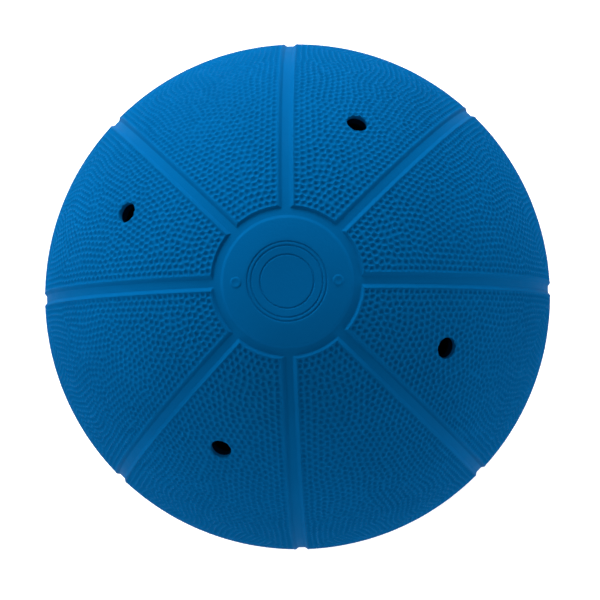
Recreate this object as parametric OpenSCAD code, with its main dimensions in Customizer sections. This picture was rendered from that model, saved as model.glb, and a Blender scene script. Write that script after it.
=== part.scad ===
// Goalball: a hollow rubber ball moulded as two half shells, with eight sound holes,
// and two loose jingle bells inside that let blindfolded players hear it roll.
// The origin is the ball's centre and +Z runs along the axis through the two hubs.

/* [Ball] */
// Outside diameter over the panels, about 76 cm round
ball_d = 242; // [236:1:248]
// Rubber wall thickness under a panel
wall = 5.5; // [4.8:0.1:7]

/* [Channels] */
// Channels that run from each hub to the equator
channel_count = 8; // [6:2:10]
// Depth of a channel below the panels
channel_depth = 1.1; // [0.7:0.1:1.6]
// Width of a channel's flat floor
channel_floor_w = 4.1; // [2.5:0.1:5.5]
// Sideways run of each sloping channel wall
channel_wall_run = 1.1; // [0.8:0.1:2]

/* [Hub] */
// Diameter of the smooth disc at each pole, at its top edge
hub_d = 52.8; // [50:0.2:60]
// Height of the disc above the channel floors
hub_h = 0.6; // [0.4:0.05:0.7]
// Sideways run of the disc's sloping rim
hub_rim_run = 0.8; // [0.5:0.1:1.2]
// Width of the floor of the ring channel round the disc
hub_ring_w = 2.9; // [2:0.1:4]
// Diameter of the flat field in the middle of the disc, which the ball can stand on
field_d = 34.4; // [34.2:0.2:36]
// Diameter of the outermost ring engraved in the field
outer_ring_d = 32.5; // [32:0.1:33]
// Diameter of the second ring engraved in the field
second_ring_d = 29.3; // [28:0.1:30]
// Diameter of the innermost ring engraved in the field
inner_ring_d = 21.9; // [18:0.1:25]
// Width of each engraved ring
ring_w = 0.8; // [0.5:0.1:1.1]
// Depth of each engraved ring
ring_depth = 0.3; // [0.2:0.05:0.5]
// Distance between the two moulded buttons on the disc
button_spread = 41.7; // [40:0.1:45]
// Diameter of a button
button_d = 4.6; // [3:0.1:5]
// Height of a button above the disc
button_h = 0.35; // [0.2:0.05:0.4]
// Diameter of the dish in the top of a button, level with the button's top
button_dish_d = 4; // [2:0.1:4.2]
// Depth of the dish
button_dish_depth = 0.25; // [0.1:0.05:0.25]

/* [Sound holes] */
// Diameter of a sound hole
hole_d = 9; // [7:0.5:12]
// Angle of each hole in turn from the hub's axis, as pierced by hand
hole_polar = [38.2, 39.2, 38.5, 36.2]; // [32:0.1:45]
// Angle by which each hole strays from the middle line of its panel
hole_stray = [-1.4, -2.9, -1.4, -0.8]; // [-4:0.1:4]
// Width of the broken edge at a hole's mouth
hole_edge = 0.5; // [0.2:0.1:1]

/* [Equator joint] */
// Height of the tongue that the front half puts inside the rear half
lap_h = 6; // [4:0.5:9]
// Thickness of the tongue at the equator
lap_t = 2.6; // [2:0.1:3]
// Room for cement round the tongue
cement_gap = 0.05; // [0.03:0.01:0.1]

/* [Bells] */
// Outside diameter of a bell's cups
bell_d = 45; // [40:0.5:48]
// Sheet thickness of a bell
bell_sheet = 1; // [0.8:0.1:1.3]
// Width of the upper cup's flange
flange_w = 1.8; // [1.5:0.1:2.5]
// Reach of the lower cup's crimped lip over that flange
lip_w = 1.2; // [0.8:0.1:1.4]
// Play of the flange inside the crimp
crimp_gap = 0.05; // [0.03:0.01:0.1]
// Width of the crossed slots in a lower cup
slot_w = 3; // [2:0.1:4]
// Diameter of the round ends of the slots
slot_end_d = 6; // [5:0.1:8]
// Angle of the slot ends from the bottom of the bell
slot_end_polar = 55; // [45:1:60]
// Wire diameter of a bell's hanging loop
loop_wire_d = 2.4; // [2:0.1:3]
// Distance between the legs of the loop
loop_spread = 10; // [9:0.5:13]
// Length of loop leg showing above the crown's shoulder
loop_leg_h = 2.6; // [2:0.1:5]
// Play of the loop's legs in the crown
loop_play = 0.1; // [0.05:0.05:0.2]
// Diameter of the steel pellet in a bell
pellet_d = 12; // [9:0.5:14]

/* [Fits] */
// Gap between the two bells as they lie side by side
bell_gap = 4; // [2:0.5:10]
// Running gap under a bell or a pellet that rolls
run_gap = 0.3; // [0.2:0.05:0.5]

/* [Hidden] */
$fn = 96;

rubber_blue = [0.01, 0.36, 0.60];
plated_steel = [0.74, 0.72, 0.68];
wire_steel = [0.55, 0.55, 0.56];
pellet_steel = [0.45, 0.46, 0.48];

// Overshoot that lets cuts pass cleanly through a surface
over = 2;
// The ring channel is this much deeper than the other channels
ring_step = 0.05;

ball_r = ball_d / 2;
chamber_r = ball_r - wall;
floor_r = ball_r - channel_depth;
ring_floor_r = floor_r - ring_step;
lap_r = chamber_r + lap_t;

// Half width of a channel where its walls run out past the panels
channel_half_w = channel_floor_w / 2 + channel_wall_run * (channel_depth + over) / channel_depth;
channel_turn = 360 / channel_count;

// Height of a sphere above the middle plane, at a distance from the axis
function dome_z(sphere_r, r) = sqrt(sphere_r * sphere_r - r * r);

// Radius of the ball that has a cap of the given width and height
function cap_r(cap_d, cap_h) = (cap_d * cap_d / 4 + cap_h * cap_h) / (2 * cap_h);

hub_dome_r = floor_r + hub_h;
hub_top_r = hub_d / 2;
hub_foot_r = hub_top_r + hub_rim_run;
hub_top_z = dome_z(hub_dome_r, hub_top_r);
hub_foot_z = dome_z(ring_floor_r, hub_foot_r);
ring_out_r = hub_foot_r + hub_ring_w;
ring_out_z = dome_z(ring_floor_r, ring_out_r);
panel_end_r = ring_out_r + channel_wall_run;
panel_end_z = dome_z(ball_r, panel_end_r);
field_z = dome_z(hub_dome_r, field_d / 2);

// Outward lean of the panel ends and inward lean of the disc's rim, per unit of height
panel_end_lean = channel_wall_run / (panel_end_z - ring_out_z);
hub_rim_lean = hub_rim_run / (hub_top_z - hub_foot_z);

// A channel starts in the ring channel, so its end doesn't show
channel_start = asin((hub_foot_r + hub_ring_w / 2) / ball_r);
// Angle by which a channel runs past the equator
channel_past = 4;

button_polar = asin(button_spread / 2 / hub_dome_r);
button_ball_r = cap_r(button_d, button_h);
dish_ball_r = cap_r(button_dish_d, button_dish_depth);

bell_r = bell_d / 2;
bell_inner_r = bell_r - bell_sheet;
flange_r = bell_r + flange_w;
crimp_r = flange_r + crimp_gap;
rim_r = crimp_r + bell_sheet;
lip_z = bell_sheet + crimp_gap;
rim_z = lip_z + bell_sheet;

// The bells lie side by side on the chamber wall, touching it with their rims
bell_y = bell_r + bell_gap / 2;
bell_z = dome_z(chamber_r - run_gap, bell_y + rim_z) - rim_r;

loop_r = loop_spread / 2;
loop_bend_z = dome_z(bell_r, loop_r) + loop_leg_h;
foot_z = dome_z(bell_inner_r, loop_r + loop_wire_d / 2) - loop_wire_d / 2 - loop_play;
foot_len = loop_r - loop_wire_d;
pellet_fall = bell_inner_r - pellet_d / 2 - run_gap;

// One radial channel, from the ring channel to just past the equator
module channel_cut() {
  rotate([90, channel_past, 0])
    rotate_extrude(angle = 90 - channel_start + channel_past)
      polygon([
        [floor_r, -channel_floor_w / 2],
        [ball_r + over, -channel_half_w],
        [ball_r + over, channel_half_w],
        [floor_r, channel_floor_w / 2]
      ]);
}

// Everything above the ring channel's floor, out to the sloping ends of the panels
module hub_recess() {
  recess_h = ball_r + over - ring_out_z;
  difference() {
    translate([0, 0, ring_out_z])
      cylinder(h = recess_h, r1 = ring_out_r, r2 = ring_out_r + panel_end_lean * recess_h);
    sphere(r = ring_floor_r);
  }
}

// The raised disc at the pole, rooted in the wall below it
module hub_disc() {
  root_z = hub_foot_z - over;
  rim_h = ball_r - root_z;
  rim_root_r = hub_foot_r + hub_rim_lean * over;
  intersection() {
    sphere(r = hub_dome_r);
    translate([0, 0, root_z])
      cylinder(h = rim_h, r1 = rim_root_r, r2 = rim_root_r - hub_rim_lean * rim_h);
  }
}

// Flat field of the disc and the rings engraved in it
module field_cut() {
  translate([0, 0, field_z])
    cylinder(h = ball_r - field_z + over, r = hub_top_r);
  for (ring_d = [outer_ring_d, second_ring_d, inner_ring_d])
    translate([0, 0, field_z - ring_depth])
      difference() {
        cylinder(h = ring_depth + over, d = ring_d + ring_w);
        translate([0, 0, -over])
          cylinder(h = ring_depth + 3 * over, d = ring_d - ring_w);
      }
}

// Places a shape on the disc at both buttons, with +Z outwards
module at_buttons(height) {
  for (side = [-1, 1])
    rotate([0, side * button_polar, 0])
      translate([0, 0, height])
        children();
}

// Through holes near the middle of every second panel, with a broken edge at the mouth
module sound_holes() {
  for (i = [0 : channel_count / 2 - 1])
    rotate([0, 0, (2 * i + 1.5) * channel_turn + hole_stray[i % len(hole_stray)]])
      rotate([0, hole_polar[i % len(hole_polar)], 0]) {
        translate([0, 0, chamber_r - over])
          cylinder(h = wall + 2 * over, d = hole_d);
        translate([0, 0, ball_r - 2 * hole_edge])
          cylinder(h = 4 * hole_edge, d1 = hole_d - 2 * hole_edge, d2 = hole_d + 6 * hole_edge);
      }
}

// Outside of one half with its hub towards +Z, before the chamber is hollowed out
module half_outside() {
  difference() {
    union() {
      difference() {
        sphere(r = ball_r);
        translate([-ball_d, -ball_d, -2 * ball_d])
          cube([2 * ball_d, 2 * ball_d, 2 * ball_d]);
        hub_recess();
        for (i = [0 : channel_count - 1])
          rotate([0, 0, i * channel_turn])
            channel_cut();
      }
      hub_disc();
      at_buttons(hub_dome_r + button_h - button_ball_r)
        sphere(r = button_ball_r);
    }
    field_cut();
    at_buttons(hub_dome_r + button_h - button_dish_depth + dish_ball_r)
      sphere(r = dish_ball_r);
  }
}

// Front half, with the tongue that is cemented into the rear half
module front_half_shell() {
  color(rubber_blue)
    difference() {
      union() {
        half_outside();
        translate([0, 0, -lap_h])
          cylinder(h = lap_h + wall, r = lap_r);
      }
      sphere(r = chamber_r);
      sound_holes();
    }
}

// Rear half, turned over, with a rebate round its mouth for the tongue
module rear_half_shell() {
  color(rubber_blue)
    rotate([180, 0, 0])
      difference() {
        half_outside();
        sphere(r = chamber_r);
        translate([0, 0, -over])
          cylinder(h = over + lap_h + cement_gap, r = lap_r + cement_gap);
        sound_holes();
      }
}

// Upper cup of a bell: a pressed dome with a flat flange and two holes for the loop
module upper_cup() {
  color(plated_steel)
    difference() {
      union() {
        intersection() {
          sphere(r = bell_r);
          cylinder(h = bell_d, r = bell_d);
        }
        cylinder(h = bell_sheet, r = flange_r);
      }
      sphere(r = bell_inner_r);
      for (side = [-1, 1])
        translate([side * loop_r, 0, 0])
          cylinder(h = bell_d, d = loop_wire_d + 2 * loop_play);
    }
}

// Lower cup of a bell: a slotted dome whose rim is crimped over the upper cup's flange
module lower_cup() {
  color(plated_steel)
    difference() {
      union() {
        translate([0, 0, -bell_d])
          intersection() {
            translate([0, 0, bell_d])
              sphere(r = bell_r);
            cylinder(h = bell_d, r = bell_d);
          }
        rotate_extrude()
          polygon([
            [bell_inner_r, -bell_sheet], [rim_r, -bell_sheet],
            [rim_r, rim_z], [flange_r - lip_w, rim_z],
            [flange_r - lip_w, lip_z], [crimp_r, lip_z],
            [crimp_r, 0], [bell_inner_r, 0]
          ]);
      }
      sphere(r = bell_inner_r);
      for (turn = [0, 90])
        rotate([0, 0, turn]) {
          slot_reach = bell_r * sin(slot_end_polar);
          slot_rise = bell_r * cos(slot_end_polar);
          translate([-slot_reach, -slot_w / 2, -bell_d])
            cube([2 * slot_reach, slot_w, bell_d - slot_rise + over]);
          for (side = [-1, 1])
            rotate([0, 180 + side * slot_end_polar, 0])
              translate([0, 0, bell_inner_r - over])
                cylinder(h = bell_sheet + 2 * over, d = slot_end_d);
        }
    }
}

// Hanging loop of a bell: a wire staple whose feet are bent inwards under the crown
module wire_loop() {
  color(wire_steel) {
    translate([0, 0, loop_bend_z])
      rotate([90, 0, 0])
        rotate_extrude(angle = 180)
          translate([loop_r, 0])
            circle(d = loop_wire_d);
    for (side = [-1, 1])
      translate([side * loop_r, 0, foot_z]) {
        cylinder(h = loop_bend_z - foot_z, d = loop_wire_d);
        for (bend_z = [0, loop_bend_z - foot_z])
          translate([0, 0, bend_z])
            sphere(d = loop_wire_d);
        rotate([0, -side * 90, 0])
          cylinder(h = foot_len, d = loop_wire_d);
      }
  }
}

// Loose steel pellet, lying at the low side of its bell
module pellet() {
  color(pellet_steel)
    translate([0, pellet_fall, 0])
      sphere(d = pellet_d);
}

// Lays a bell on the chamber wall with its loop pointing away from the other bell
module laid(bell_number) {
  rotate([0, 0, (bell_number - 1) * 180])
    translate([0, bell_y, -bell_z])
      rotate([-90, 0, 0])
        children();
}

front_half_shell();
rear_half_shell();
laid(1) upper_cup();  // bell_1_upper_cup
laid(1) lower_cup();  // bell_1_lower_cup
laid(1) wire_loop();  // bell_1_loop
laid(1) pellet();  // bell_1_pellet
laid(2) upper_cup();  // bell_2_upper_cup
laid(2) lower_cup();  // bell_2_lower_cup
laid(2) wire_loop();  // bell_2_loop
laid(2) pellet();  // bell_2_pellet
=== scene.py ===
import math

import bmesh
import bpy
import numpy as np
from mathutils import Matrix, Vector
from mathutils.geometry import delaunay_2d_cdt


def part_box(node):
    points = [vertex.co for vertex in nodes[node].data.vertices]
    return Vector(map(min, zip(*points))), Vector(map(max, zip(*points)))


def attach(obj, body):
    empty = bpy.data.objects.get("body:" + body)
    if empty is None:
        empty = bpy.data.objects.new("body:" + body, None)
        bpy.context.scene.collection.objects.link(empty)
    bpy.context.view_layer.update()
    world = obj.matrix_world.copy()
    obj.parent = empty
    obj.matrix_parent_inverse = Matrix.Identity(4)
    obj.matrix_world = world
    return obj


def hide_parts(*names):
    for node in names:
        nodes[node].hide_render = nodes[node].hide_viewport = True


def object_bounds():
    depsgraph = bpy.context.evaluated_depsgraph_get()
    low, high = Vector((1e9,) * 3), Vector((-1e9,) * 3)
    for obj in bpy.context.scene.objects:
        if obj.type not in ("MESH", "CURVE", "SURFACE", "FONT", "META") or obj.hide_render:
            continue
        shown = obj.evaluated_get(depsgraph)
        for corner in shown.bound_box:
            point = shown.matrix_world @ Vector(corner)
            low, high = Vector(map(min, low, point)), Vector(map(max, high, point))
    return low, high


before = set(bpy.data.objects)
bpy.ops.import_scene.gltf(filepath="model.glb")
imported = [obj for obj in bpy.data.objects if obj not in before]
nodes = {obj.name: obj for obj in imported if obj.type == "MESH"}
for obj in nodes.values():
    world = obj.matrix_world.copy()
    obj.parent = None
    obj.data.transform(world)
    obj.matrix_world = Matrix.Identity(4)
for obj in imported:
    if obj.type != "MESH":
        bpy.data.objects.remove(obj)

solid_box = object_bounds()
mm = 0.001


# Bell cups: two domes pressed from thin steel sheet, tin plated and tumbled, then crimped
# together round the middle. They lie loose in the ball, so they are rubbed dull and scratched.
def new_material(name):
    material = bpy.data.materials.new(name)
    material.use_nodes = True
    tree = material.node_tree
    return material, tree, tree.nodes["Principled BSDF"]


def add_node(tree, kind, **settings):
    node = tree.nodes.new(kind)
    for key, value in settings.items():
        if hasattr(node, key):
            setattr(node, key, value)
        else:
            node.inputs[key.replace("_", " ").title()].default_value = value
    return node


noise_span = (0.3, 0.7)


def noise_value(tree, scale, detail, low, high):
    """Noise on the piece's own coordinates, its usual span spread from low to high."""
    place = add_node(tree, "ShaderNodeTexCoord")
    noise = add_node(tree, "ShaderNodeTexNoise", scale=scale, detail=detail)
    spread = add_node(tree, "ShaderNodeMapRange")
    spread.inputs["From Min"].default_value = noise_span[0]
    spread.inputs["From Max"].default_value = noise_span[1]
    spread.inputs["To Min"].default_value = low
    spread.inputs["To Max"].default_value = high
    tree.links.new(place.outputs["Object"], noise.inputs["Vector"])
    tree.links.new(noise.outputs["Fac"], spread.inputs["Value"])
    return spread.outputs["Result"]


def colour_mix(tree, factor):
    """The two ends and the result of a colour mix by a factor."""
    mix = add_node(tree, "ShaderNodeMix", data_type="RGBA")
    ends = [socket for socket in mix.inputs if socket.type == "RGBA"]
    tree.links.new(factor, mix.inputs["Factor"])
    return ends, [socket for socket in mix.outputs if socket.type == "RGBA"][0]


def two_tone(tree, factor, dark, light):
    ends, colour = colour_mix(tree, factor)
    ends[0].default_value = (*dark, 1.0)
    ends[1].default_value = (*light, 1.0)
    return colour


def add_bump(tree, surface, height, depth, strength):
    bump = add_node(tree, "ShaderNodeBump")
    bump.inputs["Strength"].default_value = strength
    bump.inputs["Distance"].default_value = depth
    tree.links.new(height, bump.inputs["Height"])
    tree.links.new(bump.outputs["Normal"], surface.inputs["Normal"])


def plain_metal(name, dark, light, rough_low, rough_high, grain_scale):
    material, tree, surface = new_material(name)
    surface.inputs["Metallic"].default_value = 1.0
    tarnish = noise_value(tree, scale=90.0, detail=6.0, low=0.0, high=1.0)
    tree.links.new(two_tone(tree, tarnish, dark, light), surface.inputs["Base Color"])
    rub = noise_value(tree, scale=grain_scale, detail=4.0, low=rough_low, high=rough_high)
    tree.links.new(rub, surface.inputs["Roughness"])
    scratch = noise_value(tree, scale=3.0 * grain_scale, detail=8.0, low=0.0, high=1.0)
    add_bump(tree, surface, scratch, depth=0.02 * mm, strength=0.35)
    return material


def wear(node_name, material):
    slots = nodes[node_name].data.materials
    slots.clear()
    slots.append(material)


bell_numbers = (1, 2)
tin_plate = plain_metal(
    "tin_plate",
    dark=(0.42, 0.40, 0.36),
    light=(0.66, 0.64, 0.60),
    rough_low=0.28,
    rough_high=0.5,
    grain_scale=260.0,
)
for bell in bell_numbers:
    wear(f"bell_{bell}_upper_cup", tin_plate)
    wear(f"bell_{bell}_lower_cup", tin_plate)


# Bell loops: the staple by which a bell could be hung, left on when it goes loose into the ball.
# Drawn steel wire pushed through the crown, its feet bent over inside.
bare_wire = plain_metal(
    "bare_wire",
    dark=(0.20, 0.20, 0.21),
    light=(0.38, 0.38, 0.40),
    rough_low=0.3,
    rough_high=0.55,
    grain_scale=700.0,
)
for bell in bell_numbers:
    wear(f"bell_{bell}_loop", bare_wire)


# Pellets: a loose steel ball in each bell that strikes the cups as the ball rolls. It is put
# in before the cups are crimped, and its own rolling keeps it polished.
ball_steel = plain_metal(
    "ball_steel",
    dark=(0.30, 0.31, 0.33),
    light=(0.46, 0.47, 0.50),
    rough_low=0.12,
    rough_high=0.3,
    grain_scale=420.0,
)
for bell in bell_numbers:
    wear(f"bell_{bell}_pellet", ball_steel)


# Shell walls: each half of the ball is moulded in one piece from natural rubber, blue outside,
# with painted shade that fades it to near black in the bores of the holes and in the chamber.
# This is its smooth body: chamber wall, channel floors, ring channel and hub. The front half's
# tongue is cemented into the rear half's rebate at the equator.
front_points = nodes["front_half_shell"].data.vertices
ball_r = max(point.co.length for point in front_points)
field_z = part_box("front_half_shell")[1][2]
tongue_h = -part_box("front_half_shell")[0][2]
shell_thickness = 5.5 * mm
channel_depth = 1.1 * mm
hub_rise = 0.6 * mm
tongue_w = 2.6 * mm
cement_gap = 0.05 * mm
chamber_r = ball_r - shell_thickness
floor_r = ball_r - channel_depth
hub_dome_r = floor_r + hub_rise
tongue_r = chamber_r + tongue_w
outer_steps = 78
chamber_steps = 60
wall_turns = 192

hub_rim = (25.9 * mm, 27.5 * mm)
rim_margin = 0.2 * mm
ring_out_r = 30.1 * mm
ring_groove_r = (10.95 * mm, 14.65 * mm, 16.25 * mm)
groove_half_w = 0.5 * mm
groove_flat = 0.25
groove_reach = 1.3
groove_depth = 0.3 * mm
field_edge = (16.8 * mm, 18.4 * mm)
field_blend = 0.12 * mm

panel_count = 8
sector = 2.0 * math.pi / panel_count
hole_r = 4.5 * mm
hole_flare = 0.5 * mm
flare_h = 1.0 * mm
hole_polars = (38.2, 39.2, 38.5, 36.2)
hole_strays = (-1.4, -2.9, -1.4, -0.8)
punch_past_chamber = 4.0 * mm
punch_past_skin = 2.0 * mm
punch_end_r = hole_r + 3.0 * hole_flare
hole_turns = 64

button_from_axis = 20.85 * mm
button_turns = 40
crease_angle = math.radians(45.0)


def smooth(low, high, value):
    """Eases from 0 at low to 1 at high."""
    t = np.clip((value - low) / (high - low), 0.0, 1.0)
    return t * t * (3.0 - 2.0 * t)


def dome_z(sphere_r, r):
    return np.sqrt(sphere_r * sphere_r - r * r)


def softer_min(a, b, blend):
    """The lesser of two heights, with the crease between them rounded over."""
    h = np.clip(0.5 + 0.5 * (b - a) / blend, 0.0, 1.0)
    return b + (a - b) * h - blend * h * (1.0 - h)


def hub_height(r):
    """Height of the hub's skin at a distance from the axis, out to the ring channel's floor."""
    z = softer_min(np.full_like(r, field_z), dome_z(hub_dome_r, r), field_blend)
    for groove_r in ring_groove_r:
        off_middle = np.abs(r - groove_r) / groove_half_w
        z = z - groove_depth * (1.0 - smooth(groove_flat, 1.0, off_middle))
    rim = smooth(*hub_rim, r)
    return z * (1.0 - rim) + dome_z(floor_r, r) * rim


def hub_radii():
    """Distances from the axis for the hub's profile, closer where it bends."""
    coarse = np.linspace(0.0, ring_out_r, 40)
    fine = [coarse]
    for groove_r in ring_groove_r:
        fine.append(groove_r + groove_half_w * np.linspace(-groove_reach, groove_reach, 15))
    fine.append(np.linspace(hub_rim[0] - rim_margin, hub_rim[1] + rim_margin, 16))
    fine.append(np.linspace(*field_edge, 9))
    return np.unique(np.round(np.concatenate(fine), 6))


def lathe(profile, turns):
    """Points and faces of a closed shape turned about Z from a profile that ends on the axis."""
    profile = np.asarray(profile)
    angles = np.linspace(0.0, 2.0 * math.pi, turns, endpoint=False)
    ring = profile[1:-1]
    x = ring[:, 0, None] * np.cos(angles)
    y = ring[:, 0, None] * np.sin(angles)
    z = np.repeat(ring[:, 1, None], turns, axis=1)
    points = [(0.0, 0.0, profile[0, 1])]
    points += np.stack([x, y, z], axis=2).reshape(-1, 3).tolist()
    points.append((0.0, 0.0, profile[-1, 1]))
    faces = []
    last = len(points) - 1
    for j in range(turns):
        k = (j + 1) % turns
        faces.append((0, 1 + j, 1 + k))
        for i in range(len(ring) - 1):
            a = 1 + i * turns
            b = a + turns
            faces.append((a + j, b + j, b + k, a + k))
        end = 1 + (len(ring) - 1) * turns
        faces.append((end + j, last, end + k))
    return points, faces


def make_mesh(name, points, faces):
    mesh = bpy.data.meshes.new(name)
    mesh.from_pydata(points, [], faces)
    shape = bmesh.new()
    shape.from_mesh(mesh)
    bmesh.ops.recalc_face_normals(shape, faces=shape.faces)
    shape.to_mesh(mesh)
    shape.free()
    return mesh


def shade_smooth(mesh):
    mesh.polygons.foreach_set("use_smooth", np.ones(len(mesh.polygons), bool))


def add_piece(name, mesh, material):
    mesh.name = name
    piece = bpy.data.objects.new(name, mesh)
    bpy.context.scene.collection.objects.link(piece)
    mesh.materials.clear()
    mesh.materials.append(material)
    shade_smooth(mesh)
    return piece


def finished_mesh(piece):
    graph = bpy.context.evaluated_depsgraph_get()
    return bpy.data.meshes.new_from_object(piece.evaluated_get(graph))


def remove_piece(piece):
    mesh = piece.data
    bpy.data.objects.remove(piece)
    bpy.data.meshes.remove(mesh)


def join_shapes(shapes):
    points = []
    faces = []
    for shape_points, shape_faces in shapes:
        base = len(points)
        points += list(shape_points)
        faces += [tuple(base + i for i in face) for face in shape_faces]
    return points, faces


def hole_tool():
    """One closed punch through the wall at each hole, with a flared mouth."""
    flare = np.linspace(0.0, 1.0, 7)
    mouth_r = hole_r + hole_flare * flare ** 2
    mouth_z = floor_r + flare_h * flare
    inner_z = chamber_r - punch_past_chamber
    outer_z = ball_r + punch_past_skin
    profile = [(0.0, inner_z), (hole_r, inner_z)]
    profile += list(zip(mouth_r, mouth_z))
    profile += [(punch_end_r, outer_z), (0.0, outer_z)]
    points, faces = lathe(profile, hole_turns)
    punches = []
    for number, (polar, stray) in enumerate(zip(hole_polars, hole_strays)):
        azimuth = (2.0 * number + 1.5) * sector + math.radians(stray)
        place = Matrix.Rotation(azimuth, 3, "Z") @ Matrix.Rotation(math.radians(polar), 3, "Y")
        punches.append(([place @ Vector(point) for point in points], faces))
    mesh = make_mesh("hole_tool", *join_shapes(punches))
    tool = bpy.data.objects.new("hole_tool", mesh)
    bpy.context.scene.collection.objects.link(tool)
    return tool


def combine(piece, tool, operation):
    """Joins a closed shape to a piece, or cuts it away, and keeps the result as its mesh."""
    change = piece.modifiers.new("combine", "BOOLEAN")
    change.operation = operation
    change.solver = "MANIFOLD"
    change.object = tool
    mesh = finished_mesh(piece)
    piece.modifiers.remove(change)
    old = piece.data
    piece.data = mesh
    bpy.data.meshes.remove(old)
    mesh.name = piece.name
    shade_smooth(mesh)
    mesh.set_sharp_from_angle(angle=crease_angle)


def sphere_arc(radius, polar_from, polar_to, count):
    polar = np.linspace(polar_from, polar_to, count)
    return list(zip(radius * np.sin(polar), radius * np.cos(polar)))


def wall_profile(has_tongue):
    """Outline of a half in section, from the hub over the skin and the lap into the chamber."""
    radii = hub_radii()
    profile = list(zip(radii, hub_height(radii)))
    start = math.asin(ring_out_r / floor_r)
    profile += sphere_arc(floor_r, start, math.pi / 2.0, outer_steps)[1:]
    if has_tongue:
        lap_r = tongue_r
        lap_z = -tongue_h
    else:
        lap_r = tongue_r + cement_gap
        lap_z = tongue_h + cement_gap
    profile += [(lap_r, 0.0), (lap_r, lap_z)]
    inner_start = math.acos(lap_z / chamber_r)
    profile += sphere_arc(chamber_r, inner_start, 0.0, chamber_steps)
    return profile


def button_shapes():
    """The two dished buttons on a hub, each a closed shape let into the dome."""
    profile = [(0.0, 0.10), (0.6, 0.12), (1.05, 0.19), (1.4, 0.27), (1.65, 0.30)]
    profile += [(1.9, 0.25), (2.15, 0.12), (2.4, 0.0), (2.5, -0.3), (0.0, -0.3)]
    points, faces = lathe([(r * mm, z * mm) for r, z in profile], button_turns)
    shapes = []
    for side in (-1.0, 1.0):
        lean = side * math.asin(button_from_axis / hub_dome_r)
        place = Matrix.Rotation(lean, 3, "Y")
        lift = Vector((0.0, 0.0, hub_dome_r))
        shapes.append(([place @ (Vector(point) + lift) for point in points], faces))
    return shapes


rubber_dark = (0.0, 0.086, 0.25)
rubber_light = (0.0, 0.095, 0.275)
rubber_sheen = 0.004
# painted shade: the near-black tone that stands in for the shade deep in the hole bores and the
# chamber
bore_shade_tone = (0.0, 0.004, 0.012)
bore_shade_from = 2.1 * mm
bore_shade_to = 2.7 * mm


def rubber(name, rough_low, rough_high):
    material, tree, surface = new_material(name)
    cloud = noise_value(tree, scale=22.0, detail=5.0, low=0.0, high=1.0)
    tree.links.new(two_tone(tree, cloud, rubber_dark, rubber_light), surface.inputs["Base Color"])
    bloom = noise_value(tree, scale=140.0, detail=6.0, low=rough_low, high=rough_high)
    tree.links.new(bloom, surface.inputs["Roughness"])
    skin = noise_value(tree, scale=900.0, detail=3.0, low=0.0, high=1.0)
    add_bump(tree, surface, skin, depth=0.06 * mm, strength=0.45)
    surface.inputs["Specular IOR Level"].default_value = rubber_sheen
    return material


def paint_bore_shade(material):
    """Painted shade: fades the rubber to near black on the bores of the holes and in the chamber.
    """
    tree = material.node_tree
    colour = tree.nodes["Principled BSDF"].inputs["Base Color"]
    skin_colour = colour.links[0].from_socket
    place = add_node(tree, "ShaderNodeTexCoord")
    from_centre = add_node(tree, "ShaderNodeVectorMath", operation="LENGTH")
    depth = add_node(tree, "ShaderNodeMapRange")
    depth.inputs["From Min"].default_value = ball_r - bore_shade_from
    depth.inputs["From Max"].default_value = ball_r - bore_shade_to
    tree.links.new(place.outputs["Object"], from_centre.inputs["Vector"])
    tree.links.new(from_centre.outputs["Value"], depth.inputs["Value"])
    ends, faded = colour_mix(tree, depth.outputs["Result"])
    ends[1].default_value = (*bore_shade_tone, 1.0)
    tree.links.new(skin_colour, ends[0])
    tree.links.new(faded, colour)


smooth_rubber = rubber("smooth_rubber", rough_low=0.52, rough_high=0.64)
# paints shade into the bores of the holes and the chamber
paint_bore_shade(smooth_rubber)
turn_over = Matrix.Rotation(math.pi, 4, "X")
hole_tools = hole_tool()
for half, has_tongue in (("rear", False), ("front", True)):
    points, faces = lathe(wall_profile(has_tongue), wall_turns)
    wall_mesh = make_mesh(f"{half}_shell_wall", points, faces)
    wall = add_piece(f"{half}_shell_wall", wall_mesh, smooth_rubber)
    combine(wall, hole_tools, "DIFFERENCE")
    button_points, button_faces = join_shapes(button_shapes())
    buttons = make_mesh("buttons", button_points, button_faces)
    shape = bmesh.new()
    shape.from_mesh(wall.data)
    shape.from_mesh(buttons)
    shape.to_mesh(wall.data)
    shape.free()
    bpy.data.meshes.remove(buttons)
    if half == "rear":
        wall.data.transform(turn_over)
    shade_smooth(wall.data)
    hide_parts(f"{half}_half_shell")
    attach(wall, "shell")


# Grip panels: the eight raised fields of each half between the channels, moulded with the wall
# in the same rubber. Their edges are rounded down to the channels, and within them the skin is
# pitted with small round dimples in even rows. Every second panel has a sound hole through it.
lip_r = ball_r - 0.05 * mm
bed_r = ball_r - 1.08 * mm
foot_sink = 0.03 * mm
channel_foot = 1.3 * mm
wall_run = 2.0 * mm
end_foot = ring_out_r
end_run = 1.2 * mm
end_steepness = wall_run / end_run
lip_w = 0.1 * mm
lip_back = 0.4 * mm
edge_w = wall_run + lip_w + lip_back
wall_steps = np.linspace(0.0, wall_run, 12)
back_steps = wall_run + lip_w + np.linspace(0.0, lip_back, 5)
edge_steps = np.concatenate([wall_steps, back_steps])
panel_step = 3.0 * mm
seam_drop = 0.25 * mm
seam_steps = np.linspace(0.0, lip_w + lip_back, 7)
half_sector = sector / 2.0


def edge_radius(along):
    """Radius of the panel's skin at a distance in from the foot of its edge."""
    foot_r = floor_r - foot_sink
    wall = foot_r + (lip_r - foot_r) * smooth(0.0, wall_run, along)
    return wall - (lip_r - bed_r) * smooth(edge_w - lip_back, edge_w, along)


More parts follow.
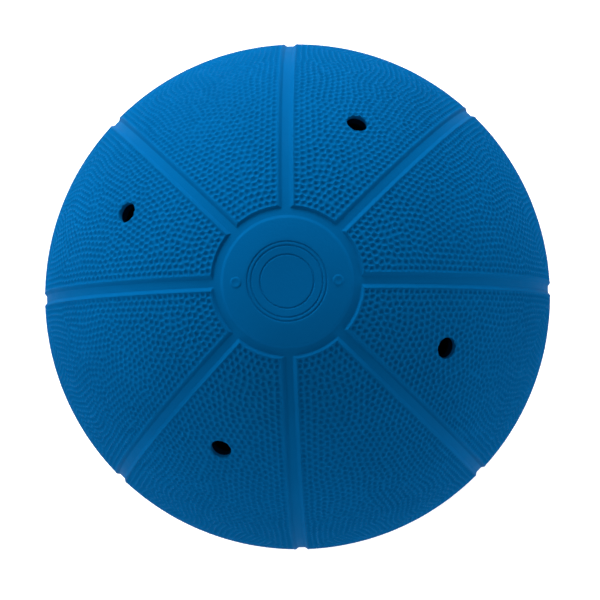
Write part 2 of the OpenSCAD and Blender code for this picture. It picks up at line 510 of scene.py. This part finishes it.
def panel_rows():
    """Polar angles of the rows of points, close together where the panel's edges curve."""
    hub_end = [math.asin((end_foot + step / end_steepness) / floor_r) for step in edge_steps]
    seam = [math.pi / 2.0 - step / ball_r for step in seam_steps[::-1]]
    count = round((seam[0] - hub_end[-1]) * ball_r / panel_step)
    middle = np.linspace(hub_end[-1], seam[0], count)[1:-1]
    return np.concatenate([hub_end, middle, seam])


def panel_skin(polar):
    """Points of the panel's skin without its dimples, in rows from the hub to the equator."""
    offset = channel_foot + edge_steps
    count = round(2.0 * (half_sector * ball_r - offset[-1]) / panel_step)
    middle = np.linspace(-1.0, 1.0, count)
    sine = np.sin(polar)[:, None]
    reach = half_sector - np.arcsin(offset[-1] / (ball_r * sine))
    side = half_sector - np.arcsin(offset[None, :-1] / (ball_r * sine))
    azimuth = np.concatenate([-side, reach * middle[None, :], side[:, ::-1]], axis=1)
    across = np.concatenate([edge_steps[:-1], np.full(count, edge_w), edge_steps[-2::-1]])
    from_hub = (np.sin(polar) * floor_r - end_foot) * end_steepness
    from_seam = (math.pi / 2.0 - polar) * ball_r
    inward = np.minimum(across[None, :], np.minimum(from_hub, from_seam + wall_run)[:, None])
    drop = seam_drop * (1.0 - smooth(0.0, 0.5 * lip_w, from_seam))
    radius = edge_radius(inward) - drop[:, None]
    level = radius * sine
    height = radius * np.cos(polar)[:, None]
    return np.stack([level * np.cos(azimuth), level * np.sin(azimuth), height], axis=2)


def drop_spare_points(shape):
    spare = [vert for vert in shape.verts if not vert.link_faces]
    bmesh.ops.delete(shape, geom=spare, context="VERTS")


def panel_blank():
    """A closed slab: the skin on top, and a coarse underside that lies on the shell wall."""
    points = panel_skin(panel_rows())
    rows, columns = points.shape[:2]
    top = np.arange(rows * columns).reshape(rows, columns)
    faces = np.stack([top[:-1, :-1], top[1:, :-1], top[1:, 1:], top[:-1, 1:]], axis=2)
    faces = faces.reshape(-1, 4).tolist()
    under = points / np.linalg.norm(points, axis=2, keepdims=True) * (floor_r - foot_sink)
    below = top + rows * columns
    below[0] = top[0]
    below[:, 0] = top[:, 0]
    below[:, -1] = top[:, -1]
    under_faces = [below[:-1, :-1], below[:-1, 1:], below[1:, 1:], below[1:, :-1]]
    faces += np.stack(under_faces, axis=2).reshape(-1, 4).tolist()
    for column in range(columns - 1):
        corners = [top[-1, column], top[-1, column + 1], below[-1, column + 1], below[-1, column]]
        faces.append(tuple(dict.fromkeys(corners)))
    all_points = np.concatenate([points.reshape(-1, 3), under.reshape(-1, 3)])
    mesh = make_mesh("panel_blank", all_points.tolist(), faces)
    shape = bmesh.new()
    shape.from_mesh(mesh)
    drop_spare_points(shape)
    shape.to_mesh(mesh)
    shape.free()
    return mesh


dimple_pitch = 2.9 * mm
dimple_sink = (1.03 * mm, 1.2 * mm)
dimple_width = (0.38, 0.48)
grain_side_edge = channel_foot + wall_run
grain_hub_edge = end_foot + end_run
grain_seam_edge = 0.5 * lip_w
cell_r = bed_r - 0.03 * mm
ridge_r = ball_r + 0.15 * mm
shortest_side = 0.35 * mm

hexagon_area = 0.866
dimple_draws = 12000
settle_steps = 240
steps_per_search = 8
search_margin = 1.3
push_reach = 1.5 * dimple_pitch
push_force = 0.5 * dimple_pitch
edge_room = 0.35 * dimple_pitch
least_gap = 0.01 * mm
mirror_reach = 2.0 * dimple_pitch
seal_distance = 0.01 * mm


def edge_gaps(points):
    """Distance of each dimple from the panel's four edges, and the way in from each."""
    ways = []
    for side in (-1.0, 1.0):
        inward = np.array([math.sin(half_sector), -side * math.cos(half_sector), 0.0])
        ways.append((points @ inward - grain_side_edge, np.broadcast_to(inward, points.shape)))
    level = np.linalg.norm(points[:, :2], axis=1)
    outward = points * np.array([1.0, 1.0, 0.0]) / level[:, None]
    ways.append((level - grain_hub_edge, outward))
    ways.append((points[:, 2] - grain_seam_edge, np.broadcast_to([0.0, 0.0, 1.0], points.shape)))
    return ways


def settle_dimples(seed):
    """Scatters dimples on a panel and lets them push each other into even rows."""
    chance = np.random.default_rng(seed)
    top = math.cos(math.asin(grain_hub_edge / ball_r))
    height = chance.uniform(0.0, top, dimple_draws)
    azimuth = chance.uniform(-half_sector, half_sector, dimple_draws)
    level = np.sqrt(1.0 - height * height)
    points = np.stack([level * np.cos(azimuth), level * np.sin(azimuth), height], axis=1) * ball_r
    inside = np.min([gap for gap, _ in edge_gaps(points)], axis=0) > 0.0
    area = sector * top * ball_r ** 2 * inside.mean()
    points = points[inside][: round(area / (hexagon_area * dimple_pitch ** 2))]
    for step in range(settle_steps):
        if step % steps_per_search == 0:
            square = (points * points).sum(1)
            apart = square[:, None] + square[None, :] - 2.0 * points @ points.T
            first, second = np.nonzero(np.triu(apart < (search_margin * push_reach) ** 2, 1))
        gap = points[first] - points[second]
        length = np.maximum(np.linalg.norm(gap, axis=1), least_gap)
        push = push_force * np.maximum(1.0 - length / push_reach, 0.0) ** 2
        move = gap * (push / length)[:, None]
        total = np.zeros_like(points)
        np.add.at(total, first, move)
        np.add.at(total, second, -move)
        for room, inward in edge_gaps(points):
            nearness = 1.0 - 2.0 * np.maximum(room, 0.0) / push_reach
            press = push_force * np.maximum(nearness, 0.0) ** 2
            total += press[:, None] * inward
        points = points + total
        for room, inward in edge_gaps(points):
            points = points + np.maximum(edge_room - room, 0.0)[:, None] * inward
        points = points / np.linalg.norm(points, axis=1, keepdims=True) * ball_r
    return points


def with_mirrored(points):
    """Adds the mirror images of the dimples along each edge, so that their cells end there."""
    for edge in range(4):
        gap, inward = edge_gaps(points)[edge]
        near = (gap > 0.0) & (gap < mirror_reach)
        images = points[near] - 2.0 * gap[near, None] * inward[near]
        points = np.concatenate([points, images])
    return points / np.linalg.norm(points, axis=1, keepdims=True)


def dimple_cells(points):
    """A sheet of cells, one polygon round each dimple, that covers the panel."""
    ways = with_mirrored(points)
    middle = points.mean(axis=0) / np.linalg.norm(points.mean(axis=0))
    east = np.array([0.0, 1.0, 0.0])
    north = np.cross(middle, east)
    flat = np.stack([ways @ east, ways @ north], axis=1) / (1.0 + ways @ middle)[:, None]
    found = delaunay_2d_cdt([Vector(place) for place in flat.tolist()], [], [], 0, 1e-9)
    given = np.array([origin[0] for origin in found[3]])
    triangles = given[np.array(found[2])]
    a, b, c = (ways[triangles[:, corner]] for corner in range(3))
    corners = np.cross(b - a, c - a)
    outward = np.sign((corners * a).sum(1, keepdims=True))
    corners *= outward / np.linalg.norm(corners, axis=1, keepdims=True)
    around = [[] for _ in ways]
    for number, triangle in enumerate(triangles.tolist()):
        for dimple in triangle:
            around[dimple].append(number)
    faces = []
    for dimple in range(len(points)):
        ring = np.array(around[dimple])
        out = corners[ring] - ways[dimple]
        right = np.cross(ways[dimple], north)
        turn = np.arctan2(out @ np.cross(ways[dimple], right), out @ right)
        faces.append(ring[np.argsort(turn)].tolist())
    mesh = make_mesh("dimple_cells", (corners * cell_r).tolist(), faces)
    shape = bmesh.new()
    shape.from_mesh(mesh)
    bmesh.ops.remove_doubles(shape, verts=shape.verts, dist=shortest_side)
    drop_spare_points(shape)
    facing = sum(face.normal.dot(face.calc_center_median()) for face in shape.faces)
    if facing < 0.0:
        bmesh.ops.reverse_faces(shape, faces=shape.faces)
    shape.to_mesh(mesh)
    shape.free()
    return mesh


def dimple_grain():
    """Node tree that thickens a sheet of cells to a slab and sinks a dimple into each cell."""
    tree = bpy.data.node_groups.new("dimple_grain", "GeometryNodeTree")
    sockets = (
        ("Cells", "Geometry"),
        ("Slab Height", "Float"),
        ("Least Rise", "Float"),
        ("Most Rise", "Float"),
        ("Least Width", "Float"),
        ("Most Width", "Float"),
        ("Seed", "Int"),
        ("Rubber", "Material"),
    )
    for name, kind in sockets:
        tree.interface.new_socket(name, in_out="INPUT", socket_type=f"NodeSocket{kind}")
    tree.interface.new_socket("Slab", in_out="OUTPUT", socket_type="NodeSocketGeometry")
    given = tree.nodes.new("NodeGroupInput")
    result = tree.nodes.new("NodeGroupOutput")
    under = tree.nodes.new("GeometryNodeFlipFaces")
    slab = tree.nodes.new("GeometryNodeExtrudeMesh")
    sink = tree.nodes.new("GeometryNodeExtrudeMesh")
    narrow = tree.nodes.new("GeometryNodeScaleElements")
    rise = tree.nodes.new("FunctionNodeRandomValue")
    width = tree.nodes.new("FunctionNodeRandomValue")
    together = tree.nodes.new("GeometryNodeJoinGeometry")
    sealed = tree.nodes.new("GeometryNodeMergeByDistance")
    rounded = tree.nodes.new("GeometryNodeSubdivisionSurface")
    real = tree.nodes.new("GeometryNodeRealizeInstances")
    coat = tree.nodes.new("GeometryNodeSetMaterial")
    slab.inputs["Individual"].default_value = False
    sink.inputs["Individual"].default_value = True
    sealed.inputs["Distance"].default_value = seal_distance
    rounded.inputs["Level"].default_value = 1
    links = [
        (given.outputs["Cells"], under.inputs["Mesh"]),
        (given.outputs["Cells"], slab.inputs["Mesh"]),
        (given.outputs["Slab Height"], slab.inputs["Offset Scale"]),
        (slab.outputs["Mesh"], sink.inputs["Mesh"]),
        (slab.outputs["Top"], sink.inputs["Selection"]),
        (sink.outputs["Mesh"], narrow.inputs["Geometry"]),
        (sink.outputs["Top"], narrow.inputs["Selection"]),
        (narrow.outputs["Geometry"], together.inputs["Geometry"]),
        (under.outputs["Mesh"], together.inputs["Geometry"]),
        (together.outputs["Geometry"], sealed.inputs["Geometry"]),
        (sealed.outputs["Geometry"], rounded.inputs["Mesh"]),
        (rounded.outputs["Mesh"], real.inputs["Geometry"]),
        (real.outputs["Geometry"], coat.inputs["Geometry"]),
        (given.outputs["Rubber"], coat.inputs["Material"]),
        (coat.outputs["Geometry"], result.inputs["Slab"]),
    ]
    for chance, least, most, target in (
        (rise, "Least Rise", "Most Rise", sink.inputs["Offset Scale"]),
        (width, "Least Width", "Most Width", narrow.inputs["Scale"]),
    ):
        ends = [socket for socket in chance.inputs if socket.type == "VALUE"]
        value = [socket for socket in chance.outputs if socket.type == "VALUE"][0]
        links.append((given.outputs[least], ends[0]))
        links.append((given.outputs[most], ends[1]))
        links.append((given.outputs["Seed"], chance.inputs["Seed"]))
        links.append((value, target))
    for source, target in links:
        tree.links.new(source, target)
    return tree


grain_material = rubber("grained_rubber", rough_low=0.6, rough_high=0.7)
grain_tree = dimple_grain()
grain_inputs = {
    item.name: item.identifier
    for item in grain_tree.interface.items_tree
    if item.in_out == "INPUT"
}


def grained_panel(centres, seed):
    """One dimpled panel about the +X meridian, as a plain mesh."""
    slab = add_piece("dimple_slab", dimple_cells(centres), grain_material)
    grain = slab.modifiers.new("grain", "NODES")
    grain.node_group = grain_tree
    grain[grain_inputs["Slab Height"]] = ridge_r - cell_r
    grain[grain_inputs["Least Rise"]] = -dimple_sink[1]
    grain[grain_inputs["Most Rise"]] = -dimple_sink[0]
    grain[grain_inputs["Least Width"]] = dimple_width[0]
    grain[grain_inputs["Most Width"]] = dimple_width[1]
    grain[grain_inputs["Seed"]] = seed
    grain[grain_inputs["Rubber"]] = grain_material
    slab_mesh = finished_mesh(slab)
    remove_piece(slab)
    slab = add_piece("dimple_slab", slab_mesh, grain_material)
    blank = add_piece("panel_blank", panel_blank(), grain_material)
    combine(blank, slab, "UNION")
    mesh = blank.data.copy()
    remove_piece(slab)
    remove_piece(blank)
    return mesh


settled = settle_dimples(seed=7)
flipped = settled * np.array([1.0, -1.0, 1.0])
panel_meshes = [grained_panel(settled, 1), grained_panel(flipped, 2)]
for half in ("rear", "front"):
    for number in range(panel_count):
        panel_mesh = panel_meshes[number % 2].copy()
        panel_mesh.transform(Matrix.Rotation((number + 0.5) * sector, 4, "Z"))
        panel = add_piece(f"{half}_panel_{number + 1}", panel_mesh, grain_material)
        if number % 2 == 1:
            combine(panel, hole_tools, "DIFFERENCE")
        if half == "rear":
            panel.data.transform(turn_over)
        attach(panel, "shell")
for mesh in panel_meshes:
    bpy.data.meshes.remove(mesh)
remove_piece(hole_tools)


# Studio: the ball stands with its rear hub on a white light table and is seen from straight
# above. Soft lights beyond its top and left shade it, and weaker ones low at its other sides
# and beside the camera fill the shade.
floor_gap = 0.5 * mm
floor_half = 12.0
floor_glow = 0.66
horizon_glow = 0.55
horizon_span = (0.05, 0.3)
light_distance = 1.6
floor_z = solid_box[0][2] - floor_gap
floor_mesh = bpy.data.meshes.new("floor")
floor_corners = [(-1, -1), (1, -1), (1, 1), (-1, 1)]
floor_points = [(x * floor_half, y * floor_half, floor_z) for x, y in floor_corners]
floor_mesh.from_pydata(floor_points, [], [(0, 1, 2, 3)])
floor = bpy.data.objects.new("floor", floor_mesh)
bpy.context.scene.collection.objects.link(floor)
white, _, white_surface = new_material("white_table")
white_surface.inputs["Base Color"].default_value = (0.85, 0.85, 0.85, 1.0)
white_surface.inputs["Roughness"].default_value = 0.9
white_surface.inputs["Emission Color"].default_value = (1.0, 1.0, 1.0, 1.0)
white_surface.inputs["Emission Strength"].default_value = floor_glow
floor_mesh.materials.append(white)

room = bpy.data.worlds.new("room")
bpy.context.scene.world = room
room.use_nodes = True
room_tree = room.node_tree
skyward = add_node(room_tree, "ShaderNodeTexCoord")
height = add_node(room_tree, "ShaderNodeSeparateXYZ")
fade = add_node(room_tree, "ShaderNodeMapRange", interpolation_type="SMOOTHSTEP")
fade.inputs["From Min"].default_value = horizon_span[0]
fade.inputs["From Max"].default_value = horizon_span[1]
fade.inputs["To Min"].default_value = horizon_glow
fade.inputs["To Max"].default_value = 0.0
room_tree.links.new(skyward.outputs["Generated"], height.inputs["Vector"])
room_tree.links.new(height.outputs["Z"], fade.inputs["Value"])
room_tree.links.new(fade.outputs["Result"], room_tree.nodes["Background"].inputs["Strength"])
room_tree.nodes["Background"].inputs["Color"].default_value = (1.0, 1.0, 1.0, 1.0)


def soft_light(name, azimuth, elevation, size, power):
    """A round area light aimed at the ball, its direction given in degrees."""
    lamp_data = bpy.data.lights.new(name, "AREA")
    lamp_data.shape = "DISK"
    lamp_data.size = size
    lamp_data.energy = power
    lamp = bpy.data.objects.new(name, lamp_data)
    around = Matrix.Rotation(math.radians(azimuth), 3, "Z")
    upward = Matrix.Rotation(math.radians(-elevation), 3, "Y")
    lamp.location = around @ upward @ Vector((light_distance, 0.0, 0.0))
    lamp.rotation_euler = (-lamp.location).to_track_quat("-Z", "Y").to_euler()
    lamp.visible_camera = False
    bpy.context.scene.collection.objects.link(lamp)


soft_light("top_light", azimuth=94.0, elevation=19.0, size=0.7, power=28.1)
soft_light("corner_light", azimuth=135.0, elevation=15.0, size=0.7, power=9.7)
soft_light("left_light", azimuth=178.0, elevation=26.0, size=0.7, power=8.5)
soft_light("low_left_fill", azimuth=225.0, elevation=8.0, size=0.4, power=8.1)
soft_light("low_right_fill", azimuth=315.0, elevation=6.0, size=0.3, power=7.3)
soft_light("right_fill", azimuth=0.0, elevation=6.0, size=0.3, power=6.3)
soft_light("front_fill", azimuth=0.0, elevation=85.0, size=0.9, power=9.1)

camera_reach = 6.0
photo_size = 600.0
outline_px = 253.0
centre_px = (297.6, 296.9)
tilt = [math.radians(angle) for angle in (-2.92, -1.99, 1.21)]
focal_px = outline_px / math.tan(math.asin(1.0 / camera_reach))
tilt_x, tilt_y, tilt_z = (Matrix.Rotation(angle, 3, axis) for angle, axis in zip(tilt, "XYZ"))
to_ball = (tilt_x @ tilt_y @ tilt_z).transposed()
px_width = camera_reach * ball_r / focal_px
aim_x = (photo_size / 2.0 - centre_px[0]) * px_width
aim_y = (centre_px[1] - photo_size / 2.0) * px_width
lens = bpy.data.cameras.new("camera")
lens.sensor_width = 36.0
lens.lens = focal_px / photo_size * lens.sensor_width
lens.clip_start = 0.01
camera = bpy.data.objects.new("camera", lens)
camera.matrix_world = to_ball.to_4x4()
camera.location = to_ball @ Vector((aim_x, aim_y, camera_reach * ball_r))
bpy.context.scene.collection.objects.link(camera)
bpy.context.scene.camera = camera
bpy.context.scene.view_settings.view_transform = "Standard"
